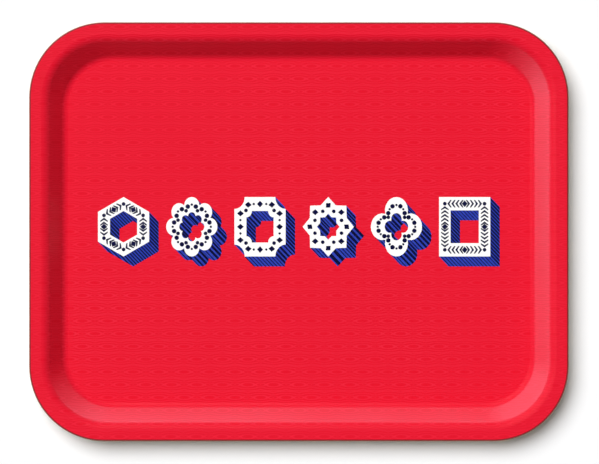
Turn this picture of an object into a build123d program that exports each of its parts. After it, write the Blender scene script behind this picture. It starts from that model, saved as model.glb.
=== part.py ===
from build123d import *

import os
from math import atan2, sqrt, tan

# A form-pressed birch laminate serving tray: a printed melamine decor sheet, five crossed veneers
# and a sealing sheet, pressed together into a shallow dish with a flat lip.
# Millimetres. +Z is up, X runs along the long side, and the origin is the centre of the underside.

# Outline and height
LENGTH = 430.0
WIDTH = 334.0
HEIGHT = 20.0
CORNER_RADIUS = 60.0
EDGE_ROUNDING = 1.5  # the milled rim is eased top and bottom, which bares the veneers

# The pressed profile on the upper face, measured in from the rim to where its bends would be sharp
LIP_WIDTH = 13.6
FOOT_INSET = 27.4
LIP_BEND_RADIUS = 8.7
FOOT_BEND_RADIUS = 6.5
FOOT_CORNER_RADIUS = 40.0  # larger than a parallel offset gives, so the wall leans more at a corner

# The laminate, from the serving face down
DECOR_THICKNESS = 0.25
VENEER_THICKNESS = 0.7
BACKING_THICKNESS = 0.25
LAYERS = [
    ("decor_sheet", DECOR_THICKNESS),
    ("face_veneer", VENEER_THICKNESS),
    ("upper_cross_veneer", VENEER_THICKNESS),
    ("core_veneer", VENEER_THICKNESS),
    ("lower_cross_veneer", VENEER_THICKNESS),
    ("back_veneer", VENEER_THICKNESS),
    ("backing_sheet", BACKING_THICKNESS),
]
LAMINATE = sum(thickness for _, thickness in LAYERS)

# The pressed wall, worked out from the above, on a straight side and across a corner
RISE = HEIGHT - LAMINATE
LIP_CORNER_RADIUS = CORNER_RADIUS - LIP_WIDTH
CORNER_SHARE = sqrt(2) - 1  # how far a rounded corner stands back from a sharp one, per unit radius
SIDE_RUN = FOOT_INSET - LIP_WIDTH
CORNER_RUN = sqrt(2) * SIDE_RUN + CORNER_SHARE * (FOOT_CORNER_RADIUS - LIP_CORNER_RADIUS)
SIDE_LEAN = atan2(RISE, SIDE_RUN)
CORNER_LEAN = atan2(RISE, CORNER_RUN)

# Each millimetre of depth under the serving face moves a sharp bend outwards by half the lean's tangent
SIDE_SHIFT = tan(SIDE_LEAN / 2)
CORNER_SHIFT = tan(CORNER_LEAN / 2)
CORNER_GROWTH = (sqrt(2) * SIDE_SHIFT - CORNER_SHIFT) / CORNER_SHARE

MOULD_BASE = -10.0  # the press mould is a thick block that reaches well below the tray


def press_mould(depth):
    """A block whose hollow top face runs parallel to the serving face, at this depth under it."""
    lip_z = HEIGHT - depth
    foot_z = LAMINATE - depth
    mouth_inset = LIP_WIDTH - depth * SIDE_SHIFT
    foot_inset = FOOT_INSET - depth * SIDE_SHIFT
    mouth_radius = LIP_CORNER_RADIUS + depth * CORNER_GROWTH
    foot_radius = FOOT_CORNER_RADIUS + depth * CORNER_GROWTH
    with BuildPart() as block:
        with BuildSketch(Plane.XY.offset(MOULD_BASE)):
            RectangleRounded(LENGTH, WIDTH, CORNER_RADIUS)
        extrude(amount=lip_z - MOULD_BASE)
        with BuildSketch(Plane.XY.offset(foot_z)):
            RectangleRounded(LENGTH - 2 * foot_inset, WIDTH - 2 * foot_inset, foot_radius)
        with BuildSketch(Plane.XY.offset(lip_z)):
            RectangleRounded(LENGTH - 2 * mouth_inset, WIDTH - 2 * mouth_inset, mouth_radius)
        loft(ruled=True, mode=Mode.SUBTRACT)
        floor = block.faces().filter_by(Plane.XY).sort_by(Axis.Z)[1]
        fillet(floor.edges(), FOOT_BEND_RADIUS + depth)
        lip = block.faces().filter_by(Plane.XY).sort_by(Axis.Z)[-1]
        fillet(lip.inner_wires()[0].edges(), LIP_BEND_RADIUS - depth)
    return block.part


# The milled outline: the lip's full thickness with its eased rim, open downwards inside that rim
with BuildPart() as milled_outline:
    with BuildSketch(Plane.XY.offset(RISE)):
        RectangleRounded(LENGTH, WIDTH, CORNER_RADIUS)
    extrude(amount=LAMINATE)
    fillet(milled_outline.faces().filter_by(Plane.XY).edges(), EDGE_ROUNDING)
    with BuildSketch():
        RectangleRounded(
            LENGTH - 2 * EDGE_ROUNDING, WIDTH - 2 * EDGE_ROUNDING, CORNER_RADIUS - EDGE_ROUNDING
        )
    extrude(amount=HEIGHT)

# Each layer is what lies between two moulds, trimmed to the milled outline
os.makedirs("parts", exist_ok=True)
level = 0.0
upper_mould = press_mould(level)
for name, thickness in LAYERS:
    level += thickness
    lower_mould = press_mould(level)
    with BuildPart() as layer:
        add(upper_mould)
        add(lower_mould, mode=Mode.SUBTRACT)
        add(milled_outline.part, mode=Mode.INTERSECT)
    layer.part.label = name
    export_step(layer.part, f"parts/{name}.step")
    upper_mould = lower_mould
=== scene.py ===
import math

import bpy
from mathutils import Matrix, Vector
from mathutils.geometry import delaunay_2d_cdt


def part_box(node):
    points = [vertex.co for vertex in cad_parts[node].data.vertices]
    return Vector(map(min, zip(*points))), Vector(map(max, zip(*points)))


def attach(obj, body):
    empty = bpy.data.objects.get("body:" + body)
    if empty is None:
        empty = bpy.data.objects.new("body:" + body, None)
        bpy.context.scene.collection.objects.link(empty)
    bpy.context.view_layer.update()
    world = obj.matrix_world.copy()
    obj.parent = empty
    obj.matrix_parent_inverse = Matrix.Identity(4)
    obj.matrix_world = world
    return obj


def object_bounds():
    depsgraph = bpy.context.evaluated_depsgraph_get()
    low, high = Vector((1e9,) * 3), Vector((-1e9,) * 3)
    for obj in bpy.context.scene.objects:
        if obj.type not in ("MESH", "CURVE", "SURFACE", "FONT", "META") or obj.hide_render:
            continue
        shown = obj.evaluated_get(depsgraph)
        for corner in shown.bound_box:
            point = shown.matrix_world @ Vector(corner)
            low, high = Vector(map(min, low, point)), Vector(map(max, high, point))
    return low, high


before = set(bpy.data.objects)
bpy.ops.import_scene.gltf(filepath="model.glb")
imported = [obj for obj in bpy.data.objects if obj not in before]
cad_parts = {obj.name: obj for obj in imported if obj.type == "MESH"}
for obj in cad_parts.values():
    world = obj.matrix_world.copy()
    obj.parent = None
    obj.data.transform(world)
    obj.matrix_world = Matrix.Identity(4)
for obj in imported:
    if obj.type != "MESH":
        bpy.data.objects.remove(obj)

# A pressed birch laminate tray in red melamine, printed with a tone-on-tone repeat of nested ovals and a
# row of six geometric frames with block shadows. Everything is in metres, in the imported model's frame.

MM = 0.001
cad_low, cad_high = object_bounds()

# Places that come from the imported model
decor_low, decor_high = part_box("decor_sheet")
_, face_veneer_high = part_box("face_veneer")
_, cross_veneer_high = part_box("upper_cross_veneer")
DECOR_THICKNESS = decor_high.z - face_veneer_high.z
VENEER_THICKNESS = face_veneer_high.z - cross_veneer_high.z
FLOOR_Z = decor_low.z + DECOR_THICKNESS
HALF_LENGTH = cad_high.x
HALF_WIDTH = cad_high.y
RIM_RADIUS = 60 * MM
LONG_GRAIN, CROSS_GRAIN = 0, 1  # the axis that each veneer's fibres run along

RING_SPACING = 19 * MM  # between the growth rings that show as waves on the underside

# The printed repeat
REPEAT = 20.4 * MM
OVAL_STRETCH = 3.3  # how much wider than high each oval is
LARGE_OVAL = 5.4 * MM  # half the width of each oval's outline
SMALL_OVAL = 3.9 * MM

# The printed row of frames, in millimetres in the plane of the floor
ROW_LENGTH = 314.0  # over the faces, without their block shadows
FRAME_HALF_WIDTH = 20.5
FRAME_HALF_HEIGHT = 23.8
BLOCK = Vector((7.6, -8.0))  # how far, and which way, each block shadow runs from its face
HATCH_SPACING = 2.1  # across the stripes on the block shadows
HATCH_SHARE_RIGHT = 0.66  # how much of a facet that looks right is dark
HATCH_SHARE_DOWN = 0.34

# The chains on the frames: how far apart their motifs stand, and each motif's size
CHAIN_SPACING = {"chevrons": 3.0, "lozenges": 4.6, "discs": 3.7}
END_DISC = 1.5  # radius
LARGE_DISC = 1.85
SMALL_DISC = 0.95
LOZENGE = (2.4, 2.7)  # half its length along the chain and half its width
CHEVRON = (1.2, 3.0, 1.1)  # half its length, half its width and its thickness

INK_STEP = 0.04 * MM  # each ink lies this much over the one under it

# The camera, straight over the tray with a long lens
VIEW_WIDTH = 0.4771  # how much of the rim's plane the picture is wide
AIM = Vector((0.5 * MM, -0.2 * MM))  # the picture isn't quite centred on the tray
LENS = 250.0
SENSOR = 36.0

# The table and the room
TABLE_HALF_SIZE = 20.0
TABLE_GLOW = 0.06
BACKDROP = 1.0
AMBIENT = 0.06

# The key light, in degrees
KEY_AZIMUTH = 131
KEY_ELEVATION = 60
KEY_SPREAD = 46  # how wide it looks from the tray
KEY_STRENGTH = 3.8

# The sheen cards stand in a low arc on the key light's side, strongest in the middle of the arc
CARD_AZIMUTHS = range(35, 236, 25)
ARC_MIDDLE = 135  # azimuth
ARC_REACH = 140  # degrees from the middle at which a card would give nothing
CARD_ELEVATION = 4
CARD_DISTANCE = 1.2
CARD_WIDTH = 0.6
CARD_HEIGHT = 0.156
CARD_WATTS = 2.7  # at the middle
CARD_TINT = (0.6, 1.0, 1.25)


# ---------------------------------------------------------------- material nodes

class Look:
    """A material under construction. Each method adds one node and returns the socket it feeds on."""

    def __init__(self, name):
        self.material = bpy.data.materials.new(name)
        self.material.use_nodes = True
        self.tree = self.material.node_tree
        self.shader = self.tree.nodes["Principled BSDF"]
        self.place = self.node("ShaderNodeTexCoord").outputs["Object"]

    def node(self, kind, **settings):
        made = self.tree.nodes.new(kind)
        for key, value in settings.items():
            setattr(made, key, value)
        return made

    def feed(self, socket, value):
        if isinstance(value, bpy.types.NodeSocket):
            self.tree.links.new(value, socket)
        else:
            socket.default_value = value

    def math(self, operation, *values):
        made = self.node("ShaderNodeMath", operation=operation)
        for socket, value in zip(made.inputs, values):
            self.feed(socket, value)
        return made.outputs[0]

    def vector(self, operation, *values):
        made = self.node("ShaderNodeVectorMath", operation=operation)
        for socket, value in zip(made.inputs, values):
            self.feed(socket, value)
        scalar = operation in ("LENGTH", "DOT_PRODUCT")
        return made.outputs["Value" if scalar else "Vector"]

    def axes(self, vector):
        made = self.node("ShaderNodeSeparateXYZ")
        self.feed(made.inputs[0], vector)
        return made.outputs

    def join(self, x, y, z):
        made = self.node("ShaderNodeCombineXYZ")
        for socket, value in zip(made.inputs, (x, y, z)):
            self.feed(socket, value)
        return made.outputs[0]

    def noise(self, scale, stretch=(1, 1, 1), detail=3.0, rough=0.5, twist=0.0):
        """Noise with about scale waves to the metre, and fewer along an axis with a low stretch."""
        made = self.node("ShaderNodeTexNoise")
        self.feed(made.inputs["Vector"], self.vector("MULTIPLY", self.place, stretch))
        made.inputs["Scale"].default_value = scale
        made.inputs["Detail"].default_value = detail
        made.inputs["Roughness"].default_value = rough
        made.inputs["Distortion"].default_value = twist
        return made.outputs[0]

    def ramp(self, value, low, high, to_low=0.0, to_high=1.0):
        """Ease from to_low to to_high as the value goes from low to high."""
        made = self.node("ShaderNodeMapRange", interpolation_type="SMOOTHSTEP")
        for socket, number in zip(made.inputs, (value, low, high, to_low, to_high)):
            self.feed(socket, number)
        return made.outputs[0]

    def mix(self, share, first, second):
        """The first colour where the share is 0, and the second where it is 1."""
        made = self.node("ShaderNodeMix", data_type="RGBA")
        for socket, value in ((made.inputs[0], share), (made.inputs[6], first), (made.inputs[7], second)):
            self.feed(socket, value)
        return made.outputs[2]

    def bump(self, height, depth, strength):
        made = self.node("ShaderNodeBump")
        made.inputs["Strength"].default_value = strength
        made.inputs["Distance"].default_value = depth
        self.feed(made.inputs["Height"], height)
        return made.outputs[0]

    def finish(self, **inputs):
        """Feed the shader's inputs, base_color for Base Color and so on, and return the material."""
        for key, value in inputs.items():
            self.feed(self.shader.inputs[key.replace("_", " ").title().replace("Ior", "IOR")], value)
        return self.material


def colour(red, green, blue):
    """A colour given as 0 to 255 on screen, as the linear values that nodes take."""
    def linear(value):
        value /= 255
        return value / 12.92 if value <= 0.04045 else ((value + 0.055) / 1.055) ** 2.4
    return (linear(red), linear(green), linear(blue), 1.0)


def rim_distance(look):
    """How far a point stands inside the milled outline, seen from above; 0 at the rim."""
    x, y, _ = look.axes(look.place)

    def past_corner_centre(axis, half_size):
        past = look.math("SUBTRACT", look.math("ABSOLUTE", axis), half_size - RIM_RADIUS)
        return look.math("MAXIMUM", past, 0)

    outward = look.join(past_corner_centre(x, HALF_LENGTH), past_corner_centre(y, HALF_WIDTH), 0)
    return look.math("SUBTRACT", RIM_RADIUS, look.vector("LENGTH", outward))


def melamine(look, base):
    """The pressed satin melamine finish that the sheet and all its inks share."""
    pores = look.noise(900, detail=2.0, rough=0.6)
    haze = look.noise(14, detail=4.0)
    broad = look.ramp(haze, 0.3, 0.7, 0.36, 0.44)
    fine = look.ramp(pores, 0.2, 0.8, -0.03, 0.03)
    return look.finish(
        base_color=base,
        roughness=look.math("ADD", broad, fine),
        specular_ior_level=0.5,
        coat_weight=0.25,
        coat_roughness=0.3,
        normal=look.bump(pores, 0.02 * MM, 0.5),
    )


def ink(name, tint, deep):
    """A flat printed ink with the faint mottling of pressed paper."""
    look = Look(name)
    mottle = look.ramp(look.noise(220, detail=4.0, rough=0.6), 0.35, 0.65)
    return melamine(look, look.mix(mottle, tint, deep))


def oval_repeat(look):
    """0 to 1 across the lines that ring flat ovals of two sizes, which stand by turns on a square grid."""
    x, y, _ = look.axes(look.place)
    half = REPEAT / 2
    near_x = look.math("PINGPONG", x, half)
    near_y = look.math("PINGPONG", y, half)
    far_x = look.math("SUBTRACT", half, near_x)
    far_y = look.math("SUBTRACT", half, near_y)

    def nearest(centres, oval):
        distances = []
        for dx, dy in centres:
            flattened = look.join(dx, look.math("MULTIPLY", dy, OVAL_STRETCH), 0)
            distances.append(look.vector("LENGTH", flattened))
        return look.math("DIVIDE", look.math("MINIMUM", *distances), oval)

    large = nearest(((near_x, near_y), (far_x, far_y)), LARGE_OVAL)
    small = nearest(((near_x, far_y), (far_x, near_y)), SMALL_OVAL)
    ringed = look.math("MINIMUM", look.math("MAXIMUM", large, 0.5), small)
    wave = look.math("COSINE", look.math("MULTIPLY", ringed, math.tau))
    return look.ramp(wave, -0.4, 1.0)


def decor_look():
    """The printed red sheet, with bare paper fibres where the rim's easing cuts through it."""
    look = Look("decor")
    lines = look.mix(oval_repeat(look), colour(224, 10, 38), colour(233, 32, 57))
    mottle = look.ramp(look.noise(9, detail=5.0, rough=0.6), 0.3, 0.7, 0.0, 0.3)
    printed = look.mix(mottle, lines, colour(224, 12, 41))
    cut = look.ramp(rim_distance(look), 1.3 * MM, 1.6 * MM, 1.0, 0.0)
    fibres = look.mix(look.noise(1500), colour(120, 14, 26), colour(168, 26, 40))
    return melamine(look, look.mix(cut, printed, fibres))


def birch(look, grain, pale, dark):
    """Birch colour with its fibres along one axis, darker where the cut shows end grain."""
    fibre_stretch = tuple(0.03 if axis == grain else 1.0 for axis in range(3))
    band_stretch = tuple(0.06 if axis == grain else 1.0 for axis in range(3))
    fibres = look.noise(2600, fibre_stretch, detail=4.0, rough=0.65)
    bands = look.noise(110, band_stretch, detail=5.0, twist=0.5)
    figure = look.math("ADD", look.ramp(bands, 0.35, 0.68, 0, 0.5), look.ramp(fibres, 0.4, 0.75, 0, 0.4))
    along_grain = tuple(1.0 if axis == grain else 0.0 for axis in range(3))
    normal = look.node("ShaderNodeNewGeometry").outputs["Normal"]
    end = look.math("ABSOLUTE", look.vector("DOT_PRODUCT", normal, along_grain))
    wood = look.mix(figure, pale, dark)
    return look.mix(look.math("MULTIPLY", end, 0.8), wood, colour(196, 154, 106)), fibres


def veneer_look(node, grain):
    """A veneer as its cut edge shows it: dark glue lines over and under it, and its upward-facing arris
    painted dark red-brown as shade along the rim.
    """
    look = Look(node)
    wood, fibres = birch(look, grain, colour(246, 230, 200), colour(222, 194, 152))
    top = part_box(node)[1].z
    _, _, z = look.axes(look.place)
    into_layer = look.math("SUBTRACT", top, z)
    from_glue = look.math("MINIMUM", into_layer, look.math("SUBTRACT", VENEER_THICKNESS, into_layer))
    glue = look.ramp(from_glue, 0.03 * MM, 0.09 * MM, 0.75, 0.0)
    # Painted shade: where the edge faces upward, on the rounded arris, it is coloured dark red-brown to
    # stand for the dark line of shade along the rim
    _, _, up = look.axes(look.node("ShaderNodeNewGeometry").outputs["Normal"])
    painted_rim_shade = look.ramp(up, 0.25, 0.7, 0.0, 0.85)
    edge = look.mix(glue, wood, colour(128, 88, 52))
    return look.finish(
        base_color=look.mix(painted_rim_shade, edge, colour(118, 52, 44)),
        roughness=look.ramp(fibres, 0.3, 0.7, 0.5, 0.68),
        specular_ior_level=0.35,
        normal=look.bump(fibres, 0.05 * MM, 0.6),
    )


def backing_look():
    """The underside: rotary-cut birch under a thin clear film, scuffed where it slides."""
    look = Look("backing")
    _, y, z = look.axes(look.place)
    drift = look.math("MULTIPLY", look.math("SUBTRACT", look.noise(4, (0.3, 1, 1)), 0.5), 0.16)
    ring = look.math("SINE", look.math("MULTIPLY", look.math("ADD", y, drift), math.tau / RING_SPACING))
    waves = look.ramp(ring, -0.2, 1.0, 0.0, 0.3)
    flecks = look.noise(700, (0.06, 1, 1), detail=2.0)
    fleck = look.ramp(flecks, 0.66, 0.76, 0.0, 0.45)
    wood, fibres = birch(look, LONG_GRAIN, colour(240, 219, 182), colour(218, 188, 144))
    figured = look.mix(waves, wood, colour(208, 174, 128))
    figured = look.mix(fleck, figured, colour(160, 120, 78))
    slides = look.ramp(z, 0.3 * MM, 0.0, 0.0, 1.0)
    streaks = look.noise(60, (1, 14, 1), detail=6.0, rough=0.75, twist=0.4)
    scuffs = look.math("MULTIPLY", slides, look.ramp(streaks, 0.6, 0.72, 0.0, 0.25))
    return look.finish(
        base_color=look.mix(look.math("MULTIPLY", scuffs, 0.4), figured, colour(242, 232, 212)),
        roughness=look.math("ADD", look.ramp(fibres, 0.3, 0.7, 0.38, 0.5), scuffs),
        coat_weight=0.2,
        coat_roughness=0.35,
        normal=look.bump(fibres, 0.03 * MM, 0.5),
    )


# ---------------------------------------------------------------- the printed row

def polar(radius, angle):
    return Vector((radius * math.cos(angle), radius * math.sin(angle)))


def polygon(corners, turn=0.0):
    """Corners spaced evenly round a circle, as straight sides."""
    points = [polar(1.0, turn + math.tau * corner / corners) for corner in range(corners)]
    return [[points[i], points[(i + 1) % corners]] for i in range(corners)]


def star(points, depth):
    """A star whose notches reach in by depth, as one side from each notch round a tip to the next notch."""
    sides = []
    for tip in range(points):
        angle = math.pi / 2 + math.tau * tip / points
        half = math.pi / points
        sides.append([polar(1 - depth, angle - half), polar(1, angle), polar(1 - depth, angle + half)])
    return sides


def lobes(count, bulge, steps=12):
    """A round shape with bulging lobes, each an arc of a circle of radius bulge, as one side each."""
    reach = 1 - bulge
    sides = []
    for lobe in range(count):
        side = []
        for step in range(steps + 1):
            lean = math.tau * (step / steps - 0.5) / count
            radius = reach * math.cos(lean) + math.sqrt(bulge ** 2 - (reach * math.sin(lean)) ** 2)
            side.append(polar(radius, math.pi / 2 + math.tau * lobe / count + lean))
        sides.append(side)
    return sides


def scooped(scoop, steps=6):
    """A square with a round bite of radius scoop at each corner, as sides from bite to bite."""
    sides = []
    for quarter in range(4):
        turn = math.pi / 2 * quarter
        side = []
        for corner, start in ((math.pi / 4, 5 * math.pi / 4), (3 * math.pi / 4, 0.0)):
            middle = polar(math.sqrt(2), corner + turn)
            for step in range(steps + 1):
                side.append(middle + polar(scoop, start + turn - math.pi / 4 * step / steps))
        sides.append(side)
    return sides


def fitted(sides, half_width, half_height):
    """The outline stretched to fill a box of this half size, centred on the origin."""
    widest = max(abs(point.x) for side in sides for point in side)
    tallest = max(abs(point.y) for side in sides for point in side)
    stretch = Vector((half_width / widest, half_height / tallest))
    return [[point * stretch for point in side] for side in sides]


def scaled(sides, share):
    return [[point * share for point in side] for side in sides]


def backwards(sides):
    return [side[::-1] for side in sides[::-1]]


def loop(sides, centre):
    """The outline as one closed loop of points about a centre."""
    return [centre + point for side in sides for point in side[:-1]]


def run(side):
    return sum((b - a).length for a, b in zip(side, side[1:]))


def stations(side, count):
    """Points that part a side into count equal lengths, its start included, each with its direction."""
    lengths = [(b - a).length for a, b in zip(side, side[1:])]
    found = []
    for number in range(count):
        left = run(side) * number / count
        for a, b, length in zip(side, side[1:], lengths):
            if left <= length:
                found.append((a + (b - a) * (left / length), (b - a) / length))
                break
            left -= length
    return found


def faces_block(along):
    """True where an edge that runs this way round a face has a side of the block below or right of it."""
    return Vector((along.y, -along.x)).dot(BLOCK) > 0


def swept(a, b):
    """The parallelogram that an edge covers as it moves along the block, counter-clockwise."""
    return [b, a, a + BLOCK, b + BLOCK]


def block_sides(edge_loop):
    return [swept(a, b) for a, b in zip(edge_loop, edge_loop[1:] + edge_loop[:1]) if faces_block(b - a)]


def hatching(sides, centre):
    """Stripes along the block's run, closer to solid on the facets that look right."""
    across = Vector((-BLOCK.y, BLOCK.x)).normalized()
    stripes = []
    for side in sides:
        breadth = sum(abs((b - a).dot(across)) for a, b in zip(side, side[1:]))
        count = max(1, round(breadth / HATCH_SPACING))
        for point, along in stations(side, 2 * count)[1::2]:  # the middles of count equal lengths
            if not faces_block(along):
                continue
            lean = abs(along.y)
            share = HATCH_SHARE_DOWN + (HATCH_SHARE_RIGHT - HATCH_SHARE_DOWN) * lean
            half = along * (run(side) / count * share / 2)
            stripes.append(swept(centre + point - half, centre + point + half))
    return stripes


def lozenge(centre, along, half_length, half_width):
    across = Vector((-along.y, along.x))
    return [
        centre + along * half_length,
        centre + across * half_width,
        centre - along * half_length,
        centre - across * half_width,
    ]


def chevron(centre, along, half_length, half_width, thickness):
    """An arrowhead that points along."""
    across = Vector((-along.y, along.x)) * half_width
    tip = centre + along * half_length
    tail = centre - along * half_length
    back = along * thickness
    notch = tip - back * 1.6  # the arms are thicker where they meet
    return [tip, tail + across, tail + across - back, notch, tail - across - back, tail - across]


def disc(centre, radius, corners=12):
    return [centre + polar(radius, math.tau * corner / corners) for corner in range(corners)]


def chain(sides, centre, motif):
    """A chain along the middle of a frame: a disc where sides meet, then the motif and dots by turns."""
    drawn = []
    for side in sides:
        half_count = max(1, round(run(side) / CHAIN_SPACING[motif] / 2))
        for number, (point, along) in enumerate(stations(side, 2 * half_count)):
            place = centre + point
            odd = number % 2 == 1
            if number == 0:
                drawn.append(disc(place, END_DISC))
            elif motif == "chevrons" and number != half_count:
                outward = along if number > half_count else -along
                drawn.append(chevron(place, outward, *CHEVRON))
            elif motif == "chevrons" or (motif == "lozenges" and odd):
                drawn.append(lozenge(place, along, *LOZENGE))
            else:
                drawn.append(disc(place, LARGE_DISC if odd else SMALL_DISC))
    return drawn


# Each frame's outline, how large its opening is, and what its chain is made of
SHAPES = [
    (polygon(6, math.pi / 2), 0.53, "chevrons"),
    (lobes(8, 0.3), 0.49, "discs"),
    (scooped(0.4), 0.53, "lozenges"),
    (star(8, 0.22), 0.44, "lozenges"),
    (lobes(4, 0.45), 0.46, "discs"),
    (polygon(4, math.pi / 4), 0.55, "chevrons"),
]


def region(added, removed=()):
    """Triangles that cover the added loops, merged where they overlap, less the removed loops."""
    points = []
    loops = []
    for outline in list(added) + list(removed):
        loops.append(list(range(len(points), len(points) + len(outline))))
        points.extend(outline)
    points, _, triangles, _, _, sources = delaunay_2d_cdt(points, [], loops, 1, 1e-6)
    kept = []
    for triangle, owners in zip(triangles, sources):
        if owners and max(owners) < len(added):
            kept.append(tuple(triangle))
    return points, kept


def print_piece(name, area, level, material):
    """A closed film of ink, its top this many ink steps over the floor and its underside one step in it."""
    points, triangles = area
    used = sorted({corner for triangle in triangles for corner in triangle})
    place = {corner: number for number, corner in enumerate(used)}
    triangles = [tuple(place[corner] for corner in triangle) for triangle in triangles]
    count = len(used)
    vertices = []
    for z in (FLOOR_Z + level * INK_STEP, FLOOR_Z - INK_STEP):
        vertices.extend((points[corner].x * MM, points[corner].y * MM, z) for corner in used)
    faces = list(triangles)
    faces.extend(tuple(corner + count for corner in reversed(triangle)) for triangle in triangles)
    edges = {(t[i], t[(i + 1) % 3]) for t in triangles for i in range(3)}
    for a, b in sorted(edges):
        if (b, a) not in edges:
            faces.append((b, a, a + count, b + count))
    mesh = bpy.data.meshes.new(name)
    mesh.from_pydata(vertices, [], faces)
    mesh.materials.append(material)
    piece = bpy.data.objects.new(name, mesh)
    bpy.context.scene.collection.objects.link(piece)
    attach(piece, "root")


def printed_row():
    """The frames: white faces over blue blocks, navy stripes on the blocks, and navy chains on top."""
    faces, holes, blocks, stripes, chains = [], [], [], [], []
    gaps = len(SHAPES) - 1
    pitch = (ROW_LENGTH - 2 * FRAME_HALF_WIDTH) / gaps
    for number, (shape, hole_share, motif) in enumerate(SHAPES):
        # The faces and their block shadows together are centred on the tray
        centre = Vector(((number - gaps / 2) * pitch, 0)) - BLOCK / 2
        outer = fitted(shape, FRAME_HALF_WIDTH, FRAME_HALF_HEIGHT)
        opening = scaled(outer, hole_share)
        faces.append(loop(outer, centre))
        holes.append(loop(opening, centre))
        for edge in (outer, backwards(opening)):
            blocks.extend(block_sides(loop(edge, centre)))
            stripes.extend(hatching(edge, centre))
        chains.extend(chain(scaled(outer, (1 + hole_share) / 2), centre, motif))
    blue = ink("blue_ink", colour(48, 68, 180), colour(40, 58, 168))
    navy = ink("navy_ink", colour(3, 4, 48), colour(6, 8, 60))
    white = ink("white_ink", colour(255, 255, 253), colour(250, 249, 246))
    print_piece("print_blocks", region(blocks), 1, blue)
    print_piece("print_hatching", region(stripes), 2, navy)
    print_piece("print_frames", region(faces, holes), 3, white)
    print_piece("print_beads", region(chains), 4, navy)


# ---------------------------------------------------------------- the tray's own nodes

def dress(node, material):
    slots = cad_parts[node].data.materials
    slots.clear()
    slots.append(material)


dress("decor_sheet", decor_look())
for node in ("face_veneer", "core_veneer", "back_veneer"):
    dress(node, veneer_look(node, LONG_GRAIN))
for node in ("upper_cross_veneer", "lower_cross_veneer"):
    dress(node, veneer_look(node, CROSS_GRAIN))
dress("backing_sheet", backing_look())
printed_row()


# ---------------------------------------------------------------- stage, light and camera

def stage_floor():
    """A pale table top with a little light of its own, so that shadows on it stay pale."""
    mesh = bpy.data.meshes.new("floor")
    s = TABLE_HALF_SIZE
    mesh.from_pydata([(-s, -s, 0), (s, -s, 0), (s, s, 0), (-s, s, 0)], [], [(0, 1, 2, 3)])
    look = Look("floor")
    mesh.materials.append(look.finish(
        base_color=(0.85, 0.85, 0.855, 1),
        roughness=1.0,
        specular_ior_level=0.0,
        emission_color=(0.97, 0.99, 1.04, 1),
        emission_strength=TABLE_GLOW,
    ))
    floor = bpy.data.objects.new("floor", mesh)
    floor.location.z = -0.02 * MM  # just clear of the underside
    bpy.context.scene.collection.objects.link(floor)


def towards(azimuth, elevation):
    """A direction from the tray. Azimuth 0 is over the +X end and 90 over the +Y side."""
    a, e = math.radians(azimuth), math.radians(elevation)
    return Vector((math.cos(a) * math.cos(e), math.sin(a) * math.cos(e), math.sin(e)))


def hang(name, lamp, direction, distance, glossy):
    """Hang a lamp that points at the tray, and gives either its sheen alone or all but its sheen."""
    rig = bpy.data.objects.new(name, lamp)
    rig.location = direction * distance
    rig.rotation_mode = "QUATERNION"
    rig.rotation_quaternion = direction.to_track_quat("Z", "Y")
    rig.visible_camera = False
    rig.visible_diffuse = not glossy
    rig.visible_glossy = glossy
    bpy.context.scene.collection.objects.link(rig)


def key_light():
    """A broad, distant source that shades the form evenly and throws the soft shadow."""
    lamp = bpy.data.lights.new("key", "SUN")
    lamp.angle = math.radians(KEY_SPREAD)
    lamp.energy = KEY_STRENGTH
    hang("key", lamp, towards(KEY_AZIMUTH, KEY_ELEVATION), 2.0, glossy=False)


def sheen_card(azimuth):
    """A low, wide panel that only shows as the satin sheen on the walls that face it."""
    name = f"card_{azimuth}"
    fade = (azimuth - ARC_MIDDLE) / ARC_REACH
    lamp = bpy.data.lights.new(name, "AREA")
    lamp.shape = "RECTANGLE"
    lamp.size = CARD_WIDTH
    lamp.size_y = CARD_HEIGHT
    lamp.color = CARD_TINT
    lamp.energy = CARD_WATTS * math.cos(math.pi / 2 * fade) ** 2
    hang(name, lamp, towards(azimuth, CARD_ELEVATION), CARD_DISTANCE, glossy=True)


def surroundings():
    """A white backdrop for the camera, and a dimmer room for the light that reaches the tray."""
    world = bpy.data.worlds.new("studio")
    world.use_nodes = True
    tree = world.node_tree
    back = tree.nodes["Background"]
    back.inputs["Color"].default_value = (1, 1, 1, 1)
    ray = tree.nodes.new("ShaderNodeLightPath")
    level = tree.nodes.new("ShaderNodeMapRange")
    level.inputs["To Min"].default_value = AMBIENT
    level.inputs["To Max"].default_value = BACKDROP
    tree.links.new(ray.outputs["Is Camera Ray"], level.inputs["Value"])
    tree.links.new(level.outputs["Result"], back.inputs["Strength"])
    bpy.context.scene.world = world


def camera():
    lens = bpy.data.cameras.new("camera")
    lens.lens = LENS
    lens.sensor_width = SENSOR
    lens.clip_end = 100
    rig = bpy.data.objects.new("camera", lens)
    rig.location = (AIM.x, AIM.y, cad_high.z + VIEW_WIDTH * LENS / SENSOR)
    bpy.context.scene.collection.objects.link(rig)
    bpy.context.scene.camera = rig


stage_floor()
surroundings()
key_light()
for azimuth in CARD_AZIMUTHS:
    sheen_card(azimuth)
camera()
bpy.context.scene.view_settings.view_transform = "Standard"
bpy.context.scene.view_settings.look = "None"
